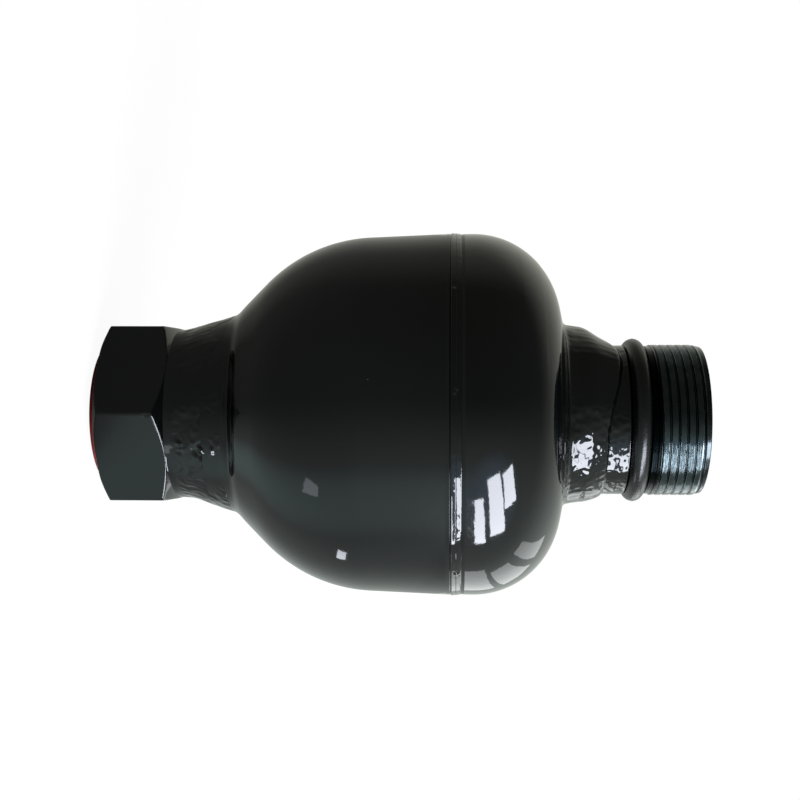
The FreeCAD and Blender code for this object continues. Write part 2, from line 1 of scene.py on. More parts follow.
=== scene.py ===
# %% [markdown]
# # A welded diaphragm accumulator
#
# The real object is a small steel pressure vessel, 67 mm across and 111 mm long. Nitrogen fills one
# side of a rubber cup inside it and oil the other, so it works as a spring for a hydraulic circuit.
# It stands upright in these cells: the hexagon port for the oil is at the foot, the threaded port for
# the gas at the top, and every number is in millimetres until the last moment.
#
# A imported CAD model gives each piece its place. Loading it first means that nothing has to be fitted
# by eye: a piece that is turned about the same axis lands where the CAD piece was.

# %% Load the frame
import math

import bpy
from mathutils import Matrix, Vector, noise


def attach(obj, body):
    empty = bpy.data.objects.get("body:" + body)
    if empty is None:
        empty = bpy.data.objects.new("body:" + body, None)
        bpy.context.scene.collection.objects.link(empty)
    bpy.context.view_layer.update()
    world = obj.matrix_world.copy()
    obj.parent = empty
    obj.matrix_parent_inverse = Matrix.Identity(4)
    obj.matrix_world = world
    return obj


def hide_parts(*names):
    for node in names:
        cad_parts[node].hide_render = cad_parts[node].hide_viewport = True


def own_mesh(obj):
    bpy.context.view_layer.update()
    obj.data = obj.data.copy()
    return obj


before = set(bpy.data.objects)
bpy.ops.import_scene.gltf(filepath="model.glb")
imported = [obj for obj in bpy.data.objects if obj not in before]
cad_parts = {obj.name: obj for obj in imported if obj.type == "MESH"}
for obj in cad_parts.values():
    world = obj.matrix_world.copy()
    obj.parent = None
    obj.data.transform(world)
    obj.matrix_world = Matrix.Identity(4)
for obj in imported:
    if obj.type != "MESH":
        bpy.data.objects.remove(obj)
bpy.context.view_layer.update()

MM = 0.001              # one millimetre, in metres
print("CAD nodes:", ", ".join(sorted(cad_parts)))

# %% [markdown]
# ## Drawing a section
#
# Almost every piece of this vessel was turned, forged or welded about one axis, so one section says
# what it is. Blender could sweep that section with its Screw modifier. Here a short helper sweeps it
# instead, because each point can then be pushed in or out on the way, which gives the forging its
# waves, the welds their lumps and the thread its turns.
#
# A section is a list of corners, (radius, height) or (radius, height, round). It runs up the outside
# and down the inside, so that the faces look outwards.


# %% Corners to points
def rounded(corners, longest=0.5):
    """The section's points: a corner with a round becomes an arc of steps no longer than this."""
    points = []
    count = len(corners)
    for index, corner in enumerate(corners):
        here = Vector(corner[:2])
        if len(corner) == 2:
            points.append(here)
            continue
        to_before = (Vector(corners[index - 1][:2]) - here).normalized()
        to_after = (Vector(corners[(index + 1) % count][:2]) - here).normalized()
        half_angle = to_before.angle(to_after) / 2
        middle = here + (to_before + to_after).normalized() * corner[2] / math.sin(half_angle)
        reach = corner[2] / math.tan(half_angle)
        start, end = here + to_before * reach - middle, here + to_after * reach - middle
        steps = max(4, math.ceil(corner[2] * start.angle(end) / longest))
        for step in range(steps + 1):
            spoke = start.slerp(end, step / steps)
            points.append(middle + spoke.normalized() * corner[2])
    return points


HIDDEN_STEP = 5.0       # longest step where nothing shows
GUARD = 0.15            # a row this close to each end of a long step keeps its shading flat


def divided(points, longest, shown=None):
    """The same closed section with no step longer than this, where it shows."""
    rows = []
    for here, after in zip(points, points[1:] + points[:1]):
        middle = (here + after) / 2
        step = longest if shown is None or shown(middle.x, middle.y) else HIDDEN_STEP
        length = (after - here).length
        pieces = max(1, math.ceil(length / step))
        shares = [piece / pieces for piece in range(pieces)]
        if length > 4 * GUARD:
            shares = sorted(shares + [GUARD / length, 1 - GUARD / length])
        rows += [here.lerp(after, share) for share in shares]
    return rows


# %% [markdown]
# ## Sweeping it
#
# `turned` sweeps the section about an upright axis. `shape` is a function that is handed each point's
# angle, radius and height and gives back the radius and height that it should have. Edges sharper
# than 35 degrees stay crisp, and everything else is shaded smooth. An angle of -90 degrees is the
# side that the camera sees, and 0 is the side of the window.

# %% A turned piece
SHARP = math.radians(35)


def turned(name, rows, spokes, axis_x=0.0, shape=None):
    """A closed piece of revolution, in metres, from rows in millimetres."""
    angles = spokes if isinstance(spokes, list) else [2 * math.pi * step / spokes for step in range(spokes)]
    points = []
    for row in rows:
        for angle in angles:
            radius, height = shape(angle, row.x, row.y) if shape else (row.x, row.y)
            points.append((
                (axis_x + radius * math.cos(angle)) * MM, radius * math.sin(angle) * MM, height * MM))
    around, up = len(angles), len(rows)
    faces = []
    for row in range(up):
        for spoke in range(around):
            here, beside = row * around + spoke, row * around + (spoke + 1) % around
            above, across = (here + around) % (up * around), (beside + around) % (up * around)
            faces.append((here, beside, across, above))
    mesh = bpy.data.meshes.new(name)
    mesh.from_pydata(points, [], faces)
    mesh.validate()
    mesh.polygons.foreach_set("use_smooth", [True] * len(mesh.polygons))
    mesh.set_sharp_from_angle(angle=SHARP)
    piece = bpy.data.objects.new(name, mesh)
    bpy.context.scene.collection.objects.link(piece)
    print(f"{name}: {len(faces)} faces")
    return piece


def limited(number):
    """The number, held between 0 and 1."""
    return min(1.0, max(0.0, number))


def turn_from(degrees, angle):
    """The turn from a place on the girth, given in degrees, to this angle: between -pi and pi."""
    return (angle - math.radians(degrees) + math.pi) % (2 * math.pi) - math.pi


def swell(size, angle, radius, height, axis_x=0.0, seed=0.0):
    """Smooth noise between about -1 and 1 on the real surface, with lumps of this size."""
    place = Vector((axis_x + radius * math.cos(angle), radius * math.sin(angle), height))
    return noise.noise(place / size + Vector((seed, seed, seed)))


def stands_for(piece, node, body="vessel"):
    """The piece takes the CAD node's place and rides on its body; the CAD node is hidden."""
    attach(piece, body)
    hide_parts(node)
    return piece


# %% [markdown]
# ## Colours and nodes
#
# Colours are written as the sRGB hex values that one would read off a screen. Shaders work in linear
# light, so one function turns them. A second small function adds a node, sets what is plain about it
# and links the rest, which keeps each material short enough to read as a recipe.


# %% Two helpers for materials
def linear(hex_colour):
    """An sRGB hex colour as linear red, green, blue and alpha."""
    parts = [int(hex_colour[place:place + 2], 16) / 255 for place in (1, 3, 5)]
    return tuple(p / 12.92 if p <= 0.04045 else ((p + 0.055) / 1.055) ** 2.4 for p in parts) + (1.0,)


def add(tree, kind, settings=None, inputs=None):
    """Adds a node; an input is a plain value, or another node's output socket to link."""
    node = tree.nodes.new(kind)
    for name, value in (settings or {}).items():
        setattr(node, name, value)
    for name, value in (inputs or {}).items():
        if isinstance(value, bpy.types.NodeSocket):
            tree.links.new(value, node.inputs[name])
        else:
            node.inputs[name].default_value = value
    return node


def new_material(name, **sockets):
    """A material with only its surface shader; constants go straight on the shader's sockets."""
    material = bpy.data.materials.new(name)
    material.use_nodes = True
    tree = material.node_tree
    surface = next(node for node in tree.nodes if node.type == "BSDF_PRINCIPLED")
    for socket, value in sockets.items():
        surface.inputs[socket.replace("_", " ")].default_value = value
    place = add(tree, "ShaderNodeTexCoord").outputs["Object"]
    return material, tree, surface, place


def per_metre(size):
    """A texture's scale, from the size of one lump of it in millimetres."""
    return 1 / (size * MM)


MOST = {"From Min": 0.3, "From Max": 0.7}       # nearly all values of a noise texture lie in this range


# %% [markdown]
# ## Black enamel over forged steel
#
# The vessel is sprayed with gloss black alkyd enamel straight over the shot-blasted forging. That
# gives the eye three things: a very dark, faintly green-blue body colour, a wet gloss that mirrors
# the room, and a surface that is never quite flat, because the enamel levels out into an orange peel
# of about 1.5 mm and the forging waves beneath it.
#
# The enamel is a dielectric, so the shader stays non-metallic. An index of 1.56 is what a pigmented
# alkyd has, a little more than clear resin, and it sets how strong the mirror images are. The gloss
# varies where hands and dust have dulled it, and a few specks of dust are caught in the film.

# %% Gloss black enamel
ENAMEL = "#060808"
DUST = "#5c5d59"
ENAMEL_INDEX = 1.56
SMEAR = 11              # size of a dulled patch
PEEL_LUMP = 1.5         # size of one lump of the orange peel
DUST_CELL = 3.5         # one speck at most in each cell of this size


def gloss_enamel(name, peel):
    """Sprayed enamel; peel is the height of its orange peel in millimetres."""
    material, tree, surface, place = new_material(name, IOR=ENAMEL_INDEX)
    smears = add(tree, "ShaderNodeTexNoise", inputs={
        "Vector": place, "Scale": per_metre(SMEAR), "Detail": 4.0, "Roughness": 0.6})
    dulled = add(tree, "ShaderNodeMapRange", inputs={
        "Value": smears.outputs["Fac"], "From Min": 0.35, "From Max": 0.75, "To Min": 0.03, "To Max": 0.08})
    tree.links.new(dulled.outputs["Result"], surface.inputs["Roughness"])
    # Dust: one speck in each cell, and only the cells inside a smear show theirs.
    cells = add(tree, "ShaderNodeTexVoronoi", inputs={"Vector": place, "Scale": per_metre(DUST_CELL)})
    speck = add(tree, "ShaderNodeMapRange", inputs={
        "Value": cells.outputs["Distance"], "From Min": 0.035, "From Max": 0.02})
    chosen = add(tree, "ShaderNodeMath", {"operation": "GREATER_THAN"}, {0: smears.outputs["Fac"], 1: 0.56})
    shown = add(tree, "ShaderNodeMath", {"operation": "MULTIPLY"}, {
        0: speck.outputs["Result"], 1: chosen.outputs["Value"]})
    colour = add(tree, "ShaderNodeMix", {"data_type": "RGBA"}, {
        "Factor": shown.outputs["Value"], 6: linear(ENAMEL), 7: linear(DUST)})
    tree.links.new(colour.outputs[2], surface.inputs["Base Color"])
    orange_peel = add(tree, "ShaderNodeTexNoise", inputs={
        "Vector": place, "Scale": per_metre(PEEL_LUMP), "Detail": 2.0, "Roughness": 0.45})
    film = add(tree, "ShaderNodeBump", inputs={
        "Height": orange_peel.outputs["Fac"], "Distance": peel * MM, "Strength": 1.0})
    specks = add(tree, "ShaderNodeBump", inputs={
        "Height": shown.outputs["Value"], "Distance": 0.02 * MM, "Normal": film.outputs["Normal"]})
    tree.links.new(specks.outputs["Normal"], surface.inputs["Normal"])
    print(name, "peel", peel, "mm")
    return material


enamel_on_forging = gloss_enamel("enamel_on_forging", 0.012)
enamel_on_weld = gloss_enamel("enamel_on_weld", 0.03)
enamel_on_hexagon = gloss_enamel("enamel_on_hexagon", 0.010)

# %% [markdown]
# ## The two forged shells
#
# Each half of the vessel is a forging with a 6 mm wall: a long one with a cone and a domed shoulder
# on the oil side, and a short flat-topped one on the gas side. They could be smooth lathe shapes, but
# forged steel isn't smooth, and gloss paint shows every wave. So the sweep pushes the outside by a few
# hundredths of a millimetre, in swells of 17, 5 and 2 mm. Beside the seam the heat of welding has made
# the skin rougher, so there the smallest swells grow. The long shell's rim rises a little to the seam
# and the short one's falls to it, and just above its foot the long shell has a narrow hollow. Paint
# mirrors the dark of the room in such places, which draws the dark lines beside the welds.

# %% Forging swells
SEAM = 66.15            # middle of the seam weld, above the plug's flange
BROAD_WAVE, WAVE = 0.045, 0.014     # heights of the swells that are 17 and 5 mm long
FINE_WAVE = 0.0025      # height of the 1.9 mm swells away from the seam
HEAT_WAVE = 0.006       # what the heat adds to them at the seam
HEATED = 3.0            # how far from the seam the heat has worked


def forged(angle, radius, height, fade):
    """The painted outside waves a little; fade takes the waves to nothing at an edge."""
    heat = math.exp(-((height - SEAM) / HEATED) ** 2)
    wave = (BROAD_WAVE * swell(17, angle, radius, height) + WAVE * swell(5, angle, radius, height, seed=40)
            + (FINE_WAVE + HEAT_WAVE * heat) * swell(1.9, angle, radius, height, seed=90)) * fade
    return radius + wave, height + 0.5 * wave


# %% Long shell, on the oil side
SHELL = 33.6            # outside radius at the seam
BORE = 27.6             # inside radius
SEAT = 29.4             # radius of the clamping ring's seat
FOOT_HOLLOW = 1.0       # deepest part of the hollow above the foot
HOLLOW_AT, HOLLOW_WIDE = 26.2, 0.75     # its height and half its width


def long_skin(radius, height):
    """True on the long shell's painted outside."""
    return height > 21.25 and radius > 14.6 and radius > 17.0 + (height - 29.0) and radius > height - 32.0


long_section = divided(rounded([
    (14.5, 19.6), (17.4, 21.2), (18.6, 25.1, 4.2), (32.6, 39.2, 29.0),
    (SHELL, SEAM - 1.7, 0.3), (SHELL + 0.05, SEAM - 1.0, 0.04),
    (SHELL - 0.3, SEAM - 0.94), (SEAT, SEAM - 0.9), (SEAT, 60.8), (BORE, 60.8),
    (BORE, 42.68, 23.0), (14.5, 29.49)], 0.4), 0.6, long_skin)


def long_shape(angle, radius, height):
    if not long_skin(radius, height):
        return radius, height
    across = 0.1 + 0.9 * math.sin(angle) ** 6       # deepest on the camera's side and opposite
    hollow = FOOT_HOLLOW * across * math.exp(-((height - HOLLOW_AT) / HOLLOW_WIDE) ** 2)
    return forged(angle, radius - hollow, height, limited((height - 21.3) / 2.5))


long_shell = turned("long_shell", long_section, 330, shape=long_shape)
long_shell.data.materials.append(enamel_on_forging)
stands_for(long_shell, "fluid_shell")


# %% Short shell, on the gas side
def short_skin(radius, height):
    """True on the short shell's painted outside."""
    return radius > 31.5 or (height > 81.5 and radius > 16.5)


short_section = divided(rounded([
    (SHELL - 0.3, SEAM + 0.92), (SHELL - 0.07, SEAM + 1.0, 0.04), (SHELL, SEAM + 1.55, 0.3),
    (SHELL, 82.1, 16.0), (16.0, 86.0), (14.1, 83.8), (14.1, 79.96),
    (BORE, 76.98, 10.4), (BORE, 71.8), (SEAT, 71.8), (SEAT, SEAM + 0.85)], 0.4), 0.6, short_skin)


def short_shape(angle, radius, height):
    fade = limited((radius - 18.5) / 3.0) if short_skin(radius, height) else 0.0
    return forged(angle, radius, height, fade)


short_shell = turned("short_shell", short_section, 330, shape=short_shape)
short_shell.data.materials.append(enamel_on_forging)
stands_for(short_shell, "gas_shell")

# %% [markdown]
# ## The seam weld
#
# A beam weld joins the two rims. From outside it is a straight, low band about 1.7 mm wide, a little
# higher towards the foot, with a fine furrow along its middle. It could be a plain ring with a bump
# texture, but its bright line shows the true slope of each side, so it is a sweep again. Close ripples
# run across it where the pool froze. They are 0.5 mm apart on the real one, which is too fine to show,
# so they are drawn 0.9 mm apart. A few spatter drops sit on it.

# %% Seam bead
RIPPLES = 234           # ripples in one turn, 0.9 mm apart
RIPPLE = 0.002          # their height
DROPS = (               # angle, place across the bead, height and width of each spatter drop
    (-97.0, 0.1, 0.22, 0.3), (-95.9, -0.2, 0.16, 0.24), (-128.0, -0.3, 0.2, 0.3), (-35.0, 0.2, 0.22, 0.35))
seam_section = divided(rounded([
    (SEAT, SEAM - 1.0), (SHELL - 0.3, SEAM - 1.0), (SHELL - 0.06, SEAM - 0.96, 0.05),
    (SHELL + 0.18, SEAM - 0.74, 0.15),
    (SHELL + 0.095, SEAM - 0.10, 0.08), (SHELL + 0.075, SEAM, 0.05), (SHELL + 0.11, SEAM + 0.10, 0.08),
    (SHELL - 0.01, SEAM + 0.76, 0.15), (SHELL - 0.08, SEAM + 0.98, 0.05), (SHELL - 0.3, SEAM + 1.0),
    (SEAT, SEAM + 0.9)], 0.06), 0.16, lambda radius, height: radius > SHELL - 0.32)


def seam_shape(angle, radius, height):
    if radius < SHELL - 0.25:
        return radius, height
    ripple = RIPPLE * math.cos(RIPPLES * angle + 5.0 * (height - SEAM) ** 2)
    uneven = (0.014 * swell(2.4, angle, radius, height, seed=7)
              + 0.006 * swell(0.7, angle, radius, height, seed=17))
    drop = 0.0
    for at, side, tall, wide in DROPS:
        near = math.hypot(SHELL * turn_from(at, angle), height - SEAM - side)
        drop += tall * math.exp(-(near / wide) ** 2)
    return radius + ripple + uneven + drop, height


seam_bead = turned("seam_bead", seam_section, 900, shape=seam_shape)
seam_bead.data.materials.append(enamel_on_weld)
stands_for(seam_bead, "seam_weld")

# %% [markdown]
# ## The hexagon port
#
# The oil port starts as 32 mm hexagon bar. A lathe tool chamfers both ends at 30 degrees, which leaves
# the curved edges that every nut has. Cutting the hexagon with boolean cones gives knife edges, while
# thick paint rounds them. So here each point's radius is the smallest of three limits, the flats, the
# front chamfer and the back chamfer, and a soft minimum rounds the edge wherever two limits meet.


# %% Soft minimum and hexagon
def soft_min(first, second, blend):
    """The smaller of two numbers, rounded off where they are within blend of each other."""
    near = max(blend - abs(first - second), 0.0) / blend
    return min(first, second) - near * near * blend / 4


FLATS = 32.0
HEX_FACE = 1.6          # the hexagon's face stands on the plug's flange
HEX_END = 14.2
LATHE_SLOPE = math.tan(math.radians(30))
FRONT_CHAMFER = 16.2    # radius at which the front chamfer meets the face
BACK_CHAMFER = 15.9     # and the back chamfer the port's neck
EDGE_ROUND = 0.25       # how far thick paint rounds the edge of the face
CORNER_ROUND = 0.55     # and each of the six corners
NICK, NICK_HEIGHT = math.radians(270.9), 11.8   # a small knock on one corner
NICK_DEPTH = 0.12


def hexagon_radius(angle):
    """Distance to the nearest flat along a spoke; two flats are square to X."""
    turn = (angle + math.pi / 6) % (math.pi / 3) - math.pi / 6
    beside = math.pi / 3 - abs(turn)
    return soft_min(FLATS / 2 / math.cos(turn), FLATS / 2 / math.cos(beside), CORNER_ROUND)


def hexagon_shape(angle, radius, height):
    if radius < 16.8:       # the face, the neck and the hole
        return radius, height
    front = FRONT_CHAMFER + (height - HEX_FACE) / LATHE_SLOPE
    back = BACK_CHAMFER + (HEX_END - height) / LATHE_SLOPE
    inset = max(0.0, 1 - (height - HEX_FACE) / EDGE_ROUND)
    edge = EDGE_ROUND * (1 - math.sqrt(1 - inset ** 2))
    wave = (0.02 * swell(9, angle, radius, height, seed=25)
            + 0.006 * swell(3, angle, radius, height, seed=26))
    wave -= NICK_DEPTH * math.exp(-((height - NICK_HEIGHT) / 0.6) ** 2 - ((angle - NICK) * 18 / 0.26) ** 2)
    # The back chamfer's edge is crisp on the middle of a flat and worn towards the corners.
    from_flat = abs((angle + math.pi / 6) % (math.pi / 3) - math.pi / 6)
    worn = 0.04 + 0.20 * limited((math.degrees(from_flat) - 11) / 9)
    return soft_min(soft_min(hexagon_radius(angle), front, 0.3), back, worn) - edge + wave, height


# %% Hexagon port
SIXTH = 44              # spokes in each sixth, closest together at the hexagon's corners
SIDE_ROWS = 60
spokes = [math.pi / 6 * (1 + 2 * sector + 1 - math.cos(math.pi * step / SIXTH))
          for sector in range(6) for step in range(SIXTH)]
side_rows = []
for step in range(SIDE_ROWS + 1):
    share = 0.001 + 0.998 * (1 - math.cos(math.pi * step / SIDE_ROWS)) / 2
    side_rows.append(Vector((FLATS / 2 + 2, HEX_FACE + (HEX_END - HEX_FACE) * share)))
neck_rows = [Vector(row) for row in (
    (15.9, HEX_END), (15.9, 14.6), (15.9, 15.1), (14.5, 15.1), (14.5, 29.49),
    (4.0, 29.49), (4.0, 15.6), (5.72, 14.6), (5.72, 8.0), (5.72, 2.58), (6.55, 1.72), (6.85, HEX_FACE))]
face_rows = [Vector((radius, HEX_FACE)) for radius in (8.0, 10.0, 12.0, 14.0, 15.2, 15.6)]

hexagon_port = turned("hexagon_port", side_rows + neck_rows + face_rows, spokes, shape=hexagon_shape)
hexagon_port.data.materials.append(enamel_on_hexagon)
stands_for(hexagon_port, "fluid_port")

# %% [markdown]
# ## The two port welds
#
# Both ports are welded on by hand or by a slow robot, and the beads are thick: they fill the whole
# corner between port and shell. A real bead is a row of frozen pools, so it has lumps a few
# millimetres long and low crescents across it. The paint softens all of that. A sculpted mesh would
# do it, and so would displacement, but here the sweep's own shape function is enough: large lumps,
# small lumps, and crescents that curve backwards at their edges. The side that faces the window is the
# roughest. The bead at the oil port runs up over the shell's foot, with two spots of spatter on it, and
# the one at the gas port leans with its port and reaches up the neck in one tongue.


# %% A weld's lumps
def weld_lumps(angle, radius, height, lumps, pits, seed):
    """How far a point of a bead stands out, in millimetres; lumps and pits are heights of those."""
    large = lumps * swell(6.0, angle, radius, height, seed=seed)
    small = 0.3 * lumps * swell(2.6, angle, radius, height, seed=seed + 9)
    drift = 1.2 * swell(5.0, angle, radius, height, seed=seed + 20)
    crescent = 0.010 * math.cos(60 * angle + drift + 0.5 * height)
    pitted = pits * abs(swell(1.3, angle, radius, height, seed=seed + 33))
    return large + small + crescent - pitted


def rough_side(angle):
    """1 on the side of the bead that is roughest, falling to 0 on the opposite side."""
    return 0.5 + 0.5 * math.cos(angle + math.radians(62))


# %% Weld at the oil port
SPATTER = ((-66.0, 21.9, 1.9), (-68.5, 17.0, 0.9))  # angle, height and size of two rough spots
foot_section = divided(rounded([
    (15.9, 15.1), (16.25, 17.1, 6.0), (17.46, 21.3, 9.0), (18.65, 24.9, 0.8), (18.2, 25.6), (17.3, 24.5),
    (16.0, 21.3), (14.4, 19.5), (14.4, 15.1)], 0.3), 0.3,
    lambda radius, height: radius > 15.8 + max(0.0, height - 18.0) * 0.25)


def foot_weld_shape(angle, radius, height):
    if radius < 15.85 + max(0.0, height - 18.0) * 0.25:     # the side that lies on the steel
        return radius, height
    rise = limited((height - 15.1) / 1.2) * limited((25.4 - height) / 1.2)
    stand = weld_lumps(angle, radius, height, 0.30, 0.06, 3)
    stand -= 0.30 * rough_side(angle) ** 4 * abs(swell(1.8, angle, radius, height, seed=31))
    for at, level, size in SPATTER:
        near = math.exp(-(math.hypot(17.0 * turn_from(at, angle), height - level) / size) ** 2)
        stand += near * (swell(1.15, angle, radius, height, seed=36) - 0.2)
    return radius + rise * stand, height


foot_weld = turned("oil_port_weld", foot_section, 600, shape=foot_weld_shape)
foot_weld.data.materials.append(enamel_on_weld)
stands_for(foot_weld, "fluid_port_weld")

# %% Weld at the gas port
LEAN = 0.75             # how far the bead's crown follows the port to its side
TONGUE = 2.5            # how far the bead reaches up the neck at one place
crown_section = divided(rounded([
    (12.2, 83.3), (15.5, 83.3), (18.4, 85.3), (16.9, 86.1, 1.2), (16.15, 89.8, 5.0), (14.6, 92.8, 1.8),
    (12.9, 94.3), (12.2, 94.3)], 0.3), 0.3, lambda radius, height: radius > 12.6 and height > 85.0)


def gas_weld_shape(angle, radius, height):
    if radius < 12.5 or height < 84.9:
        return radius, height
    rise = limited((18.8 - radius) / 1.6) * limited(height - 84.9)
    upper = limited((height - 88.0) / 5.0)
    pits = 0.03 + 0.12 * rough_side(angle) ** 4
    stand = rise * weld_lumps(angle, radius, height, 0.30 * (1 - 0.5 * upper), pits, 12)
    rising = limited((height - 88.5) / 4.5)
    lean = LEAN * math.cos(angle) * rising * rising * (3 - 2 * rising)
    tongue = (0.5 + 0.5 * math.cos(angle - math.radians(228))) ** 10
    reach = upper * (0.3 * swell(5, angle, 14.0, 93.0, seed=5) + TONGUE * tongue)
    return radius + stand + lean, height + reach


gas_weld = turned("gas_port_weld_bead", crown_section, 420, shape=gas_weld_shape)
gas_weld.data.materials.append(enamel_on_weld)
stands_for(gas_weld, "gas_port_weld")

# %% [markdown]
# ## The gas port and its thread
#
# The gas port is turned from bar. It has a plain neck, a groove for the O-ring and an M28 thread of
# 1.5 mm pitch for the charging tool. A helix could be modelled as a spiral of its own and joined to
# the port. It is simpler to lower each point of a plain cylinder by the depth that the thread has at
# that angle and height: one turn of angle moves the profile up by one pitch, which makes it
# right-handed. The crests are wide and flat from use, and the end is chamfered so that a cap starts
# easily.

# %% Thread depth
GAS_AXIS = 1.0          # the gas port is welded on 1 mm off the vessel's axis
NECK_TOP = 97.1         # the painted neck ends here, at the seal ring's groove
PITCH = 1.5
THREAD = 14.0           # outside radius of the thread
THREAD_START = 102.0
THREAD_END = 111.2
END_UP, END_IN = 1.6, 0.34  # the end is chamfered by this much, along and across the axis
CREST_AT = 105.85       # height of a crest on the -X side
CREST_FLAT = 0.90       # width of a crest
THREAD_DEPTH = 0.34


def groove_depth(angle, height):
    """Depth of the thread's groove below its crests, in millimetres."""
    turns = (height - CREST_AT) / PITCH - (angle - math.pi) / (2 * math.pi)
    from_crest = abs(turns - round(turns)) * PITCH
    down = limited((from_crest - CREST_FLAT / 2) / ((PITCH - CREST_FLAT) / 2))
    return THREAD_DEPTH * math.sin(down * math.pi / 2) ** 1.3


def gas_port_shape(angle, radius, height):
    if radius > 13.6 and 90.0 < height < NECK_TOP:
        lump = 0.05 * swell(2.6, angle, radius, height, GAS_AXIS, 50)
        pit = 0.14 * abs(swell(1.1, angle, radius, height, GAS_AXIS, 55))
        return radius + limited((NECK_TOP - height) / 0.6) * (lump - pit), height
    if radius < THREAD - END_IN - 0.02 or not THREAD_START - 0.01 < height < THREAD_END:
        return radius, height
    fade_in = limited((height - THREAD_START) / 0.8)
    fade_out = limited((THREAD_END - 0.3 - height) / 0.9)
    return radius - fade_in * fade_out * groove_depth(angle, height), height


# %% Gas port
TURN_ROWS, CHAMFER_ROWS = 180, 36
CHAMFER_START = THREAD_END - END_UP
thread_rows = [Vector((THREAD, THREAD_START + (CHAMFER_START - THREAD_START) * step / TURN_ROWS))
               for step in range(TURN_ROWS)]
thread_rows += [
    Vector((THREAD - END_IN * step / CHAMFER_ROWS, CHAMFER_START + (END_UP - 0.15) * step / CHAMFER_ROWS))
    for step in range(CHAMFER_ROWS + 1)]
thread_rows.append(Vector((THREAD - END_IN - 0.06, THREAD_END - 0.04)))
port_rows = divided(rounded([
    (13.0, 80.21), (13.0, 88.8), (13.9, 88.8), (13.9, NECK_TOP, 0.25), (11.65, NECK_TOP, 0.15),
    (11.65, 100.8, 0.15), (13.8, 100.8, 0.25), (13.8, THREAD_START)], 0.08), 0.35,
    lambda radius, height: radius > 13.6 and height > 92)
port_rows = port_rows[:max(place for place, row in enumerate(port_rows) if row.x > 13.79) + 1]
end_rows = [Vector(row) for row in (
    (12.0, THREAD_END), (11.4, THREAD_END), (10.4, THREAD_END), (10.25, 111.05), (10.25, 106.5),
    (6.5, 106.5), (6.5, 95.5), (2.0, 92.9), (2.0, 80.21), (7.0, 80.21))]
gas_port = turned("threaded_gas_port", port_rows + thread_rows + end_rows, 300, GAS_AXIS, gas_port_shape)
stands_for(gas_port, "gas_port")

# %% [markdown]
# ## Oiled, phosphated steel
#
# The thread isn't painted. It is turned steel with a thin manganese phosphate coat and a wipe of oil, which
# gives the eye a dark grey with a cold blue-green tint, a metallic shine and fine lines around it from the
# turning tool. Its colour also carries painted light: the edges beside each crest are paler, a painted
# highlight, and the roots are darker, painted shade. One material can do all of that, because each point's
# distance from the port's axis says whether it lies on a crest, an edge or a root. The collar beside the
# O-ring is painted nearly black as painted shade, and the neck below the ring has caught the same enamel as
# the vessel.
#
# The turning lines are 0.12 mm apart on the real one. Here they are drawn 0.25 mm apart, because finer
# ones would not show.

# %% Oiled steel
# The paler edge colour is a painted highlight beside each crest, and the darker root colour is painted
# shade in the grooves.
CREST_STEEL = "#525c5e"
EDGE_HIGHLIGHT_STEEL = "#a3aeb2"
ROOT_SHADE_STEEL = "#42494b"
# Painted shade: the collar between the O-ring and the thread is coloured near-black.
COLLAR_SHADE_BLACK = "#0d1112"
COLLAR = 100.7, 102.6   # from the collar's foot to the start of the first turn
TOOL_LINE = 0.25        # spacing of the turning lines, as drawn
STAIN = 3.0             # size of one stain


def port_radius(tree, place):
    """Each point's distance from the gas port's own axis, in metres."""
    offset = add(tree, "ShaderNodeVectorMath", {"operation": "SUBTRACT"}, {
        0: place, 1: (GAS_AXIS * MM, 0, 0)})
    flat = add(tree, "ShaderNodeVectorMath", {"operation": "MULTIPLY"}, {
        0: offset.outputs["Vector"], 1: (1, 1, 0)})
    out = add(tree, "ShaderNodeVectorMath", {"operation": "LENGTH"}, {0: flat.outputs["Vector"]})
    return out.outputs["Value"]


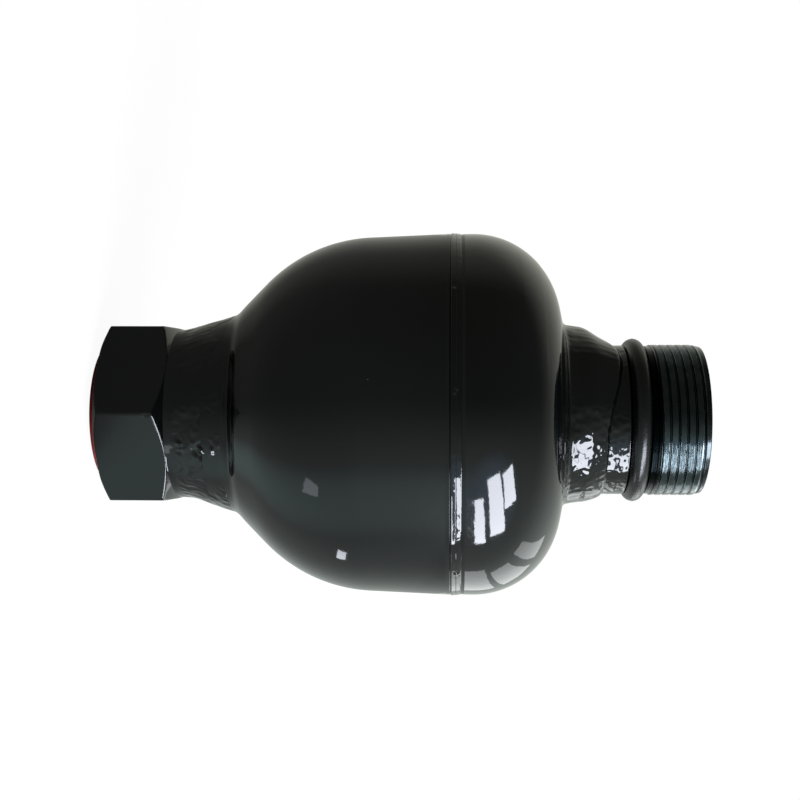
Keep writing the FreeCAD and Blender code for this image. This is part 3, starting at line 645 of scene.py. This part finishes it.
def oiled_steel(name, crest_colour, edge_highlight_colour, root_shade_colour):
    """Turned steel whose colour follows the distance from the port's axis, with a painted highlight at the
    crests' edges and painted shade in the roots.
    """
    material, tree, surface, place = new_material(name, Metallic=1.0)
    radius = port_radius(tree, place)
    crest = add(tree, "ShaderNodeMapRange", inputs={
        "Value": radius, "From Min": (THREAD - 0.04) * MM, "From Max": (THREAD - 0.015) * MM})
    edge = add(tree, "ShaderNodeMapRange", inputs={
        "Value": radius, "From Min": (THREAD - 0.18) * MM, "From Max": (THREAD - 0.11) * MM})
    # Painted shade in the roots and walls, turning to a painted highlight at the crests' edges.
    wall = add(tree, "ShaderNodeMix", {"data_type": "RGBA"}, {
        "Factor": edge.outputs["Result"], 6: linear(root_shade_colour), 7: linear(edge_highlight_colour)})
    lathe = add(tree, "ShaderNodeVectorMath", {"operation": "MULTIPLY"}, {0: place, 1: (0.06, 0.06, 1.0)})
    lines = add(tree, "ShaderNodeTexNoise", inputs={
        "Vector": lathe.outputs["Vector"], "Scale": per_metre(TOOL_LINE), "Detail": 3.0, "Roughness": 0.6})
    stains = add(tree, "ShaderNodeTexNoise", inputs={
        "Vector": place, "Scale": per_metre(STAIN), "Detail": 4.0, "Roughness": 0.6})
    tint = add(tree, "ShaderNodeMix", {"data_type": "RGBA"}, {
        "Factor": crest.outputs["Result"], 6: wall.outputs[2], 7: linear(crest_colour)})
    shade = add(tree, "ShaderNodeMapRange", inputs={
        "Value": stains.outputs["Fac"], **MOST, "To Min": 0.6, "To Max": 1.0})
    grey = add(tree, "ShaderNodeCombineColor", inputs={
        "Red": shade.outputs["Result"], "Green": shade.outputs["Result"], "Blue": shade.outputs["Result"]})
    stained = add(tree, "ShaderNodeMix", {"data_type": "RGBA", "blend_type": "MULTIPLY"}, {
        "Factor": 1.0, 6: tint.outputs[2], 7: grey.outputs["Color"]})
    tree.links.new(stained.outputs[2], surface.inputs["Base Color"])
    gloss = add(tree, "ShaderNodeMapRange", inputs={
        "Value": lines.outputs["Fac"], **MOST, "To Min": 0.08, "To Max": 0.16})
    tree.links.new(gloss.outputs["Result"], surface.inputs["Roughness"])
    cut = add(tree, "ShaderNodeBump", inputs={
        "Height": lines.outputs["Fac"], "Distance": 0.012 * MM, "Strength": 1.0})
    tree.links.new(cut.outputs["Normal"], surface.inputs["Normal"])
    return material


BARE, PAINTED, SHADED_COLLAR = range(3)
finishes = gas_port.data.materials
finishes.append(oiled_steel("oiled_phosphated_steel", CREST_STEEL, EDGE_HIGHLIGHT_STEEL, ROOT_SHADE_STEEL))
finishes.append(enamel_on_hexagon)
# Near-black steel for the collar beside the O-ring: painted shade.
finishes.append(oiled_steel("steel_in_painted_shade", COLLAR_SHADE_BLACK, COLLAR_SHADE_BLACK, COLLAR_SHADE_BLACK))
wears = {BARE: 0, PAINTED: 0, SHADED_COLLAR: 0}
for face in gas_port.data.polygons:
    height = face.center.z / MM
    out = math.hypot(face.center.x / MM - GAS_AXIS, face.center.y / MM)
    finish = BARE
    if height < NECK_TOP + 0.05 and out > 12.9:
        finish = PAINTED
    # The collar's faces take the near-black steel, which is painted shade.
    elif COLLAR[0] < height < COLLAR[1] and out > 13.0:
        finish = SHADED_COLLAR
    face.material_index = finish
    wears[finish] += 1
print("faces of the gas port that are bare, painted and blackened:", *wears.values())

# %% [markdown]
# ## Rubber: the O-ring and the diaphragm
#
# Both are moulded in black nitrile rubber. It is a matt black with a soft, wide highlight. The O-ring
# could be a plain torus, but a fitted one is stretched over its neck and never lies quite evenly, so
# its cord varies a little. A fine mould line runs around its outside. The mould's own grain is under
# 0.1 mm, which wouldn't show, so it is drawn at 0.5 mm.

# %% Moulded rubber
RUBBER = "#0a0b0b"
RUBBER_GRAIN = 0.5


def moulded_rubber():
    material, tree, surface, place = new_material(
        "moulded_nitrile_rubber", Base_Color=linear(RUBBER), IOR=1.52)
    grain = add(tree, "ShaderNodeTexNoise", inputs={
        "Vector": place, "Scale": per_metre(RUBBER_GRAIN), "Detail": 3.0, "Roughness": 0.6})
    sheen = add(tree, "ShaderNodeMapRange", inputs={
        "Value": grain.outputs["Fac"], **MOST, "To Min": 0.22, "To Max": 0.32})
    tree.links.new(sheen.outputs["Result"], surface.inputs["Roughness"])
    skin = add(tree, "ShaderNodeBump", inputs={
        "Height": grain.outputs["Fac"], "Distance": 0.01 * MM, "Strength": 1.0})
    tree.links.new(skin.outputs["Normal"], surface.inputs["Normal"])
    return material


rubber = moulded_rubber()

# %% O-ring
RING, RING_HEIGHT = 13.4, 98.95     # centre line of the cord
CORD = 1.75             # radius of the cord
CORD_STEPS = 48
cord_angles = [2 * math.pi * step / CORD_STEPS for step in range(CORD_STEPS)]
ring_section = [Vector((RING + CORD * math.cos(around), RING_HEIGHT + CORD * math.sin(around)))
                for around in cord_angles]


def ring_shape(angle, radius, height):
    stretch = 1 + 0.025 * swell(9, angle, RING, RING_HEIGHT, GAS_AXIS, 60)
    above = height - RING_HEIGHT
    mould_line = 0.05 * math.exp(-(above / 0.09) ** 2) if radius > RING else 0.0
    shift = 0.06 * swell(14, angle, RING, RING_HEIGHT, GAS_AXIS, 70)
    return RING + (radius - RING) * stretch + mould_line, RING_HEIGHT + above * stretch + shift


o_ring = turned("seal_ring", ring_section, 320, GAS_AXIS, ring_shape)
o_ring.data.materials.append(rubber)
stands_for(o_ring, "gas_port_o_ring")

# %% [markdown]
# ## The diaphragm
#
# Inside, a rubber cup parts the gas from the oil. Its bead is clamped and stays still, while its bottom
# carries the valve disc and rises with it. Two pieces share the CAD node, the bead and the cup below it;
# both ride on the vessel, and the cup gets a mesh of its own.

# %% Cup and bead
CONE_RISE = 14.1 / 14.0                                   # slope of the long shell's cone
CONE_STRETCH = math.hypot(1, CONE_RISE) / CONE_RISE       # how far a step inwards moves a cone sideways


def cone_radius(height, depth):
    """Radius of the cone that lies this deep inside the long shell's outside."""
    return 18.6 + (height - 25.1) / CONE_RISE - depth * CONE_STRETCH


def cone_height(radius, depth):
    return 25.1 + (radius - 18.6 + depth * CONE_STRETCH) * CONE_RISE


CLAMPED = 60.8          # the bead's lower side, where the cup starts to move
CUP, CUP_INSIDE = 27.3, 25.3    # radius of the cup's straight part, outside and inside
CUP_FOOT, CUP_FLOOR = 31.89, 33.89      # the valve disc lies under the foot
OUTER, INNER = 6.3, 8.3 # how deep the two sides of the rubber lie inside the shell
cup_section = divided(rounded([
    (0.001, CUP_FOOT), (cone_radius(CUP_FOOT, OUTER), CUP_FOOT, 5.0), (CUP, cone_height(CUP, OUTER), 22.7),
    (CUP, CLAMPED), (CUP_INSIDE, CLAMPED), (CUP_INSIDE, cone_height(CUP_INSIDE, INNER), 20.7),
    (cone_radius(CUP_FLOOR, INNER), CUP_FLOOR, 3.0), (0.001, CUP_FLOOR)], 1.0), 1.2)
cup = turned("diaphragm_cup", cup_section, 160)
bead_section = divided(rounded([
    (CUP, CLAMPED), (29.35, CLAMPED, 0.4), (29.35, 64.3, 0.4), (CUP_INSIDE, 64.3, 0.3),
    (CUP_INSIDE, CLAMPED)], 0.15), 1.2)
bead = turned("diaphragm_bead", bead_section, 160)
for piece in (cup, bead):
    piece.data.materials.append(rubber)
    stands_for(piece, "diaphragm")
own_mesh(cup)

# %% [markdown]
# ## The transport plug
#
# A hollow plug of red polyethylene keeps dirt out of the oil port until the vessel is fitted. It is
# moulded, so every edge has a small round, and its flange is a little wavy, as thin mouldings are
# once they have cooled. A sweep with a small round at each corner does both. Polyethylene is a milky
# plastic: light goes a little way into it, which softens its shading, so the material has a short
# subsurface depth. The plastic's flow in the mould shows as faint streaks about 4 mm apart.

# %% Plug
plug_section = divided(rounded([
    (3.47, 0.0, 0.3), (12.92, 0.0, 0.35), (12.92, HEX_FACE, 0.35), (5.6, HEX_FACE, 0.2), (5.6, 9.6, 0.5),
    (4.6, 10.6, 0.5), (0.001, 10.6), (0.001, 7.8), (3.47, 7.8, 0.5)], 0.1), 0.7)


def plug_shape(angle, radius, height):
    wavy = 0.04 * swell(8, angle, radius, height, seed=80) if radius > 11.5 else 0.0
    return radius + wavy, height


plug = turned("red_plug", plug_section, 192, shape=plug_shape)
stands_for(plug, "transport_plug")


FLOW = 4.0              # spacing of the streaks


def moulded_polyethylene():
    material, tree, surface, place = new_material(
        "moulded_polyethylene", IOR=1.51, Subsurface_Weight=0.15, Subsurface_Scale=0.8 * MM)
    flow = add(tree, "ShaderNodeTexNoise", inputs={
        "Vector": place, "Scale": per_metre(FLOW), "Detail": 3.0, "Roughness": 0.5})
    tint = add(tree, "ShaderNodeMix", {"data_type": "RGBA"}, {
        "Factor": flow.outputs["Fac"], 6: linear("#a82822"), 7: linear("#95201d")})
    tree.links.new(tint.outputs[2], surface.inputs["Base Color"])
    gloss = add(tree, "ShaderNodeMapRange", inputs={
        "Value": flow.outputs["Fac"], **MOST, "To Min": 0.3, "To Max": 0.42})
    tree.links.new(gloss.outputs["Result"], surface.inputs["Roughness"])
    skin = add(tree, "ShaderNodeBump", inputs={
        "Height": flow.outputs["Fac"], "Distance": 0.02 * MM, "Strength": 1.0})
    tree.links.new(skin.outputs["Normal"], surface.inputs["Normal"])
    return material


plug.data.materials.append(moulded_polyethylene())

# %% [markdown]
# ## The pieces that keep their CAD shape
#
# The charging screw, its seal, the valve disc and the clamping ring are plain turned pieces, and the
# CAD meshes already have their right shapes. They only get materials. Zinc plate is a bright, slightly
# blue grey with a soft shine. Bare turned steel is darker and shows the tool's rings on a face as well
# as around a side, so its lines follow the distance from the axis and the height together. They are
# about 0.1 mm apart on real ones, which is too fine to show, so they are drawn 0.3 mm apart.


# %% Plated and bare steel
def lathe_steel(name, colours, gloss, line):
    """Steel in two tones with the lathe's fine lines; gloss is the range of its roughness."""
    material, tree, surface, place = new_material(name, Metallic=1.0)
    flat = add(tree, "ShaderNodeVectorMath", {"operation": "MULTIPLY"}, {0: place, 1: (1, 1, 0)})
    out = add(tree, "ShaderNodeVectorMath", {"operation": "LENGTH"}, {0: flat.outputs["Vector"]})
    split = add(tree, "ShaderNodeSeparateXYZ", inputs={"Vector": place})
    ring = add(tree, "ShaderNodeCombineXYZ", inputs={"X": out.outputs["Value"], "Y": split.outputs["Z"]})
    lines = add(tree, "ShaderNodeTexNoise", inputs={
        "Vector": ring.outputs["Vector"], "Scale": per_metre(line), "Detail": 2.0})
    clouds = add(tree, "ShaderNodeTexNoise", inputs={
        "Vector": place, "Scale": per_metre(2.5), "Detail": 4.0, "Roughness": 0.6})
    tint = add(tree, "ShaderNodeMix", {"data_type": "RGBA"}, {
        "Factor": clouds.outputs["Fac"], 6: linear(colours[0]), 7: linear(colours[1])})
    tree.links.new(tint.outputs[2], surface.inputs["Base Color"])
    shine = add(tree, "ShaderNodeMapRange", inputs={
        "Value": clouds.outputs["Fac"], **MOST, "To Min": gloss[0], "To Max": gloss[1]})
    tree.links.new(shine.outputs["Result"], surface.inputs["Roughness"])
    cut = add(tree, "ShaderNodeBump", inputs={
        "Height": lines.outputs["Fac"], "Distance": 0.015 * MM, "Strength": 1.0})
    tree.links.new(cut.outputs["Normal"], surface.inputs["Normal"])
    return material


zinc_plate = lathe_steel("zinc_plated_steel", ("#c9cccf", "#aeb4ba"), (0.25, 0.38), 0.3)
bare_steel = lathe_steel("bare_turned_steel", ("#b4b2ae", "#96948f"), (0.28, 0.42), 0.35)
KEPT = {"charging_screw": zinc_plate, "charging_screw_seal": zinc_plate,
        "valve_disc": bare_steel, "clamping_ring": bare_steel}
for node, material in KEPT.items():
    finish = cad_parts[node].data.materials
    finish.clear()
    finish.append(material)
    print(node, "wears", material.name)

# %% [markdown]
# ## The camera
#
# The photograph looks down at a vessel that lies on its side, from about 23 cm away. Here the vessel
# stands, so the camera is turned instead: it looks along +Y with the vessel's foot towards the left of
# the picture. The place and the turn were solved from the photograph's outline of the vessel.

# %% Camera
camera_data = bpy.data.cameras.new("photo_camera")
camera_data.lens = 54.05
camera_data.sensor_width = 36.0
camera_data.clip_start = 0.01
camera = bpy.data.objects.new("photo_camera", camera_data)
camera.location = (0.00020, -0.22669, 0.06614)
camera.rotation_euler = [math.radians(turn) for turn in (-2.044, -87.338, 92.757)]
bpy.context.scene.collection.objects.link(camera)
bpy.context.scene.camera = camera
print("camera looks along", tuple(round(v, 3) for v in camera.matrix_basis.to_3x3() @ Vector((0, 0, -1))))

# %% [markdown]
# ## Light
#
# A gloss black piece is lit by what it mirrors, so the lamps have the shapes of what stands around it.
# The main light is a window with glazing bars: separate panes with gaps between them, which become the
# dark bars in the reflection. A paler window further round draws the soft patches along the side of
# the vessel. Sun lamps or a few spots would light the vessel as well, but their mirror images would be
# dots. So each lamp is a flat card, laid between two directions seen from the vessel, and two patches
# of daylight lie on the floor, where the vessel mirrors them as two small bright marks.

# %% Lamps
TARGET = Vector((0, 0, 0.062))      # the vessel's middle, in metres
ROOM = 1.2              # distance of every card, in metres
PATCH_HEIGHT = 0.5      # the patches lie this far above the floor, in millimetres


def direction(azimuth, elevation):
    """A unit vector; azimuth turns from -Y towards +X, elevation rises towards +Z, in degrees."""
    a, e = math.radians(azimuth), math.radians(elevation)
    return Vector((math.sin(a) * math.cos(e), -math.cos(a) * math.cos(e), math.sin(e)))


def flat_lamp(name, first, last, across, back, radiance, colour):
    """An area light from one point to another, this far across; back points away from what it lights."""
    along = (last - first).normalized()
    lamp = bpy.data.lights.new(name, "AREA")
    lamp.shape = "RECTANGLE"
    lamp.size = (last - first).length
    lamp.size_y = across
    lamp.energy = radiance * lamp.size * lamp.size_y * math.pi
    lamp.color = linear(colour)[:3]
    lamp_object = bpy.data.objects.new(name, lamp)
    turn = Matrix((along, back.cross(along), back)).transposed()
    lamp_object.matrix_world = Matrix.Translation((first + last) / 2) @ turn.to_4x4()
    lamp_object.visible_camera = False
    bpy.context.scene.collection.objects.link(lamp_object)
    print(f"{name}: {lamp.size:.3f} x {lamp.size_y:.3f} m, radiance {radiance}")


def card(name, start, end, wide, radiance, colour):
    """A lamp from one direction to another, this many degrees wide."""
    first, last = direction(*start) * ROOM, direction(*end) * ROOM
    middle = (first + last) / 2
    along = (last - first).normalized()
    back = (middle - along * middle.dot(along)).normalized()
    across = 2 * middle.length * math.tan(math.radians(wide / 2))
    flat_lamp(name, TARGET + first, TARGET + last, across, back, radiance, colour)


def light_patch(name, start, end, wide, radiance):
    """A patch of daylight on the floor, from one place to another in millimetres."""
    first, last = Vector((*start, PATCH_HEIGHT)) * MM, Vector((*end, PATCH_HEIGHT)) * MM
    flat_lamp(name, first, last, wide * MM, Vector((0, 0, -1)), radiance, DAYLIGHT)


DAYLIGHT = "#f0f4ff"
OVERCAST = "#f4f5f7"
WINDOW, FAR_WINDOW = 16.0, 1.6      # radiance; white paper in the lit room is about 1
card("window_lower_row", (39, 22), (83, 22), 15, WINDOW, DAYLIGHT)
card("window_upper_row", (39, 38), (68, 38), 12, WINDOW, DAYLIGHT)
card("window_sill_pane", (52, 6), (86, 6), 9, WINDOW, DAYLIGHT)
card("far_window_low", (113, 4), (146, 4), 9, FAR_WINDOW, OVERCAST)
card("far_window_middle", (118, 17), (148, 17), 12, FAR_WINDOW, OVERCAST)
card("far_window_high", (113, 33), (148, 31), 9, FAR_WINDOW, OVERCAST)
light_patch("sun_patch_beside", (155, 15), (200, 27), 26, 7.0)
light_patch("sun_patch_before", (47, -50), (66, -62), 13, 1.4)

# %% [markdown]
# ## Background
#
# The background is white for the camera and through glass. Full white in every mirror ray would turn
# the gloss black grey, and the real vessel stays black beside its white ground. So mirror rays and soft
# light see a plain room: dim behind the camera and on the side away from the window, pale on the
# window's side, and brightest behind the vessel, where it is about half as bright as the white. One
# function works out that brightness from a direction, for the world and for the floor alike, so the
# floor's mirror image continues the room's at a share of its brightness.

# %% How bright the room is
WARM_WALL = "#fcfdf0"
PLAIN_WALL = "#f1fbf6"
HAZE = "#9cc6f4"        # the sky's blue in the air around the window
PALE_HAZE = "#cffcff"   # the same on the floor, where the paper has paled it
# Where the room brightens, as unit vectors.
WINDOW_SIDE = (1.0, 0.0, 0.0)
BEHIND = (0.08, 0.93, 0.36)
FAR_CORNER = (-0.77, 0.64, 0.0)
BY_WINDOW = (0.78, -0.53, 0.33)
DIM = 0.09              # how bright the darkest part of the room is


def room_colour(tree, aim, haze):
    """The room's colour in the direction that aim holds; 1 is as bright as white paper."""
    def towards(place, low, high, strength):
        """0 up to strength as the cosine between aim and a place goes from low to high."""
        dot = add(tree, "ShaderNodeVectorMath", {"operation": "DOT_PRODUCT"}, {0: aim, 1: place})
        share = add(tree, "ShaderNodeMapRange", {"interpolation_type": "SMOOTHSTEP"}, {
            "Value": dot.outputs["Value"], "From Min": low, "From Max": high, "To Max": strength})
        return share.outputs["Result"]

    walls = add(tree, "ShaderNodeMath", {"operation": "ADD"}, {
        0: towards(WINDOW_SIDE, -0.2, 0.75, 0.44), 1: towards(BEHIND, 0.3, 0.95, 0.45)})
    corner = add(tree, "ShaderNodeMath", {"operation": "ADD"}, {
        0: towards(FAR_CORNER, 0.65, 1.0, 0.14), 1: DIM})
    brightness = add(tree, "ShaderNodeMath", {"operation": "ADD"}, {
        0: walls.outputs["Value"], 1: corner.outputs["Value"]})
    warm_to_plain = add(tree, "ShaderNodeMix", {"data_type": "RGBA"}, {
        "Factor": towards(WINDOW_SIDE, -0.4, 0.6, 1.0), 6: linear(WARM_WALL), 7: linear(PLAIN_WALL)})
    plain = add(tree, "ShaderNodeVectorMath", {"operation": "SCALE"}, {
        0: warm_to_plain.outputs[2], "Scale": brightness.outputs["Value"]})
    sky = add(tree, "ShaderNodeVectorMath", {"operation": "SCALE"}, {
        0: linear(haze)[:3], "Scale": towards(BY_WINDOW, 0.84, 0.98, 0.6)})
    both = add(tree, "ShaderNodeVectorMath", {"operation": "ADD"}, {
        0: plain.outputs["Vector"], 1: sky.outputs["Vector"]})
    return both.outputs["Vector"]


def seen_white(tree):
    """1 for what the camera sees, also through glass, and 0 for other rays."""
    ray = add(tree, "ShaderNodeLightPath").outputs
    seen = add(tree, "ShaderNodeMath", {"operation": "MAXIMUM"}, {
        0: ray["Is Camera Ray"], 1: ray["Is Transmission Ray"]})
    return seen.outputs["Value"]


# %% World
world = bpy.data.worlds.new("room")
world.use_nodes = True
bpy.context.scene.world = world
tree = world.node_tree
tree.nodes.clear()
aim = add(tree, "ShaderNodeTexCoord").outputs["Generated"]
room = add(tree, "ShaderNodeBackground", inputs={"Color": room_colour(tree, aim, HAZE), "Strength": 1.0})
white = add(tree, "ShaderNodeBackground", inputs={"Color": (1, 1, 1, 1), "Strength": 1.0})
both = add(tree, "ShaderNodeMixShader", inputs={
    "Fac": seen_white(tree), 1: room.outputs["Background"], 2: white.outputs["Background"]})
add(tree, "ShaderNodeOutputWorld", inputs={"Surface": both.outputs["Shader"]})

# %% Floor
FLOOR_HALF = 3.0        # half the floor's side, in metres
FLOOR_SHARE = 0.62      # how bright the floor's mirror image is beside the walls'
FLOOR_WHITE = 0.95      # what the camera sees even in the deepest shadow; the lit floor is white
NEAR, FAR = 0.15, 0.8   # the floor turns fully white between these distances, in metres
PAPER = "#50504e"
floor_mesh = bpy.data.meshes.new("pale_floor")
corners = [(x * FLOOR_HALF, y * FLOOR_HALF, 0) for x, y in ((-1, -1), (1, -1), (1, 1), (-1, 1))]
floor_mesh.from_pydata(corners, [], [(0, 1, 2, 3)])
floor = bpy.data.objects.new("pale_floor", floor_mesh)
bpy.context.scene.collection.objects.link(floor)
paper = bpy.data.materials.new("matt_paper")
paper.use_nodes = True
tree = paper.node_tree
tree.nodes.clear()
matt = add(tree, "ShaderNodeBsdfDiffuse", inputs={"Color": linear(PAPER)})
place = add(tree, "ShaderNodeNewGeometry").outputs["Position"]
from_vessel = add(tree, "ShaderNodeVectorMath", {"operation": "SUBTRACT"}, {0: place, 1: tuple(TARGET)})
level = add(tree, "ShaderNodeVectorMath", {"operation": "MULTIPLY"}, {0: place, 1: (1, 1, 0)})
aim = add(tree, "ShaderNodeVectorMath", {"operation": "NORMALIZE"}, {0: level.outputs["Vector"]})
mirror = add(tree, "ShaderNodeLightPath").outputs["Is Glossy Ray"]
share = add(tree, "ShaderNodeMath", {"operation": "MULTIPLY"}, {0: mirror, 1: FLOOR_SHARE})
mirrored = add(tree, "ShaderNodeVectorMath", {"operation": "SCALE"}, {
    0: room_colour(tree, aim.outputs["Vector"], PALE_HAZE), "Scale": share.outputs["Value"]})
away = add(tree, "ShaderNodeVectorMath", {"operation": "LENGTH"}, {0: from_vessel.outputs["Vector"]})
whiteness = add(tree, "ShaderNodeMapRange", {"interpolation_type": "SMOOTHSTEP"}, {
    "Value": away.outputs["Value"], "From Min": NEAR, "From Max": FAR, "To Min": FLOOR_WHITE})
shown = add(tree, "ShaderNodeMath", {"operation": "MULTIPLY"}, {
    0: seen_white(tree), 1: whiteness.outputs["Result"]})
sum_of_both = add(tree, "ShaderNodeVectorMath", {"operation": "ADD"}, {
    0: mirrored.outputs["Vector"], 1: shown.outputs["Value"]})
glow = add(tree, "ShaderNodeEmission", inputs={"Color": sum_of_both.outputs["Vector"], "Strength": 1.0})
lit = add(tree, "ShaderNodeAddShader", inputs={0: matt.outputs["BSDF"], 1: glow.outputs["Emission"]})
add(tree, "ShaderNodeOutputMaterial", inputs={"Surface": lit.outputs["Shader"]})
floor.data.materials.append(paper)
print("floor:", 2 * FLOOR_HALF, "m square")

# %% [markdown]
# ## The view transform
#
# The Standard view transform shows each colour as written.

# %% View transform
bpy.context.scene.view_settings.view_transform = "Standard"
